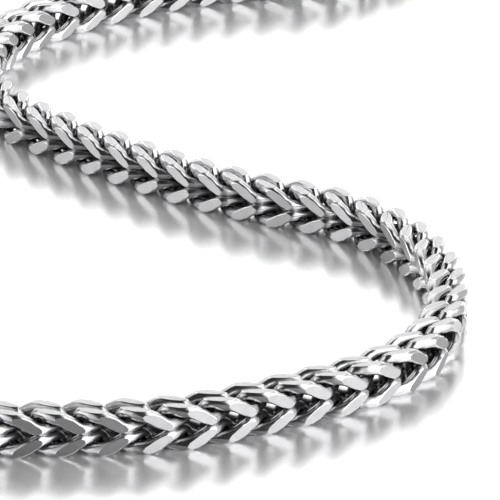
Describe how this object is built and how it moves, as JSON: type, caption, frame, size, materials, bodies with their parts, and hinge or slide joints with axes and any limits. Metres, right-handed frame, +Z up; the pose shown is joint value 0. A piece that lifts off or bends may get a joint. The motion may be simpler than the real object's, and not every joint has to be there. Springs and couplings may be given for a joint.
{
  "type": "chain necklace",
  "caption": "V-link chain necklace of box section in polished steel, closed by a plain box clasp and lying flat in a loose loop.",
  "frame": {"origin": "on the surface, under the middle of the loop's outer box", "axes": "+X to the right along the front strand, +Y away from the viewer, +Z up from the surface"},
  "size_m": [0.0912, 0.1772, 0.0057],
  "materials": {
    "polished_steel": "polished",
    "clasp_steel": "polished"
  },
  "bodies": {
    "root": {"chain_front": "polished_steel", "chain_back": "polished_steel", "clasp": "clasp_steel"}
  },
  "joints": []
}
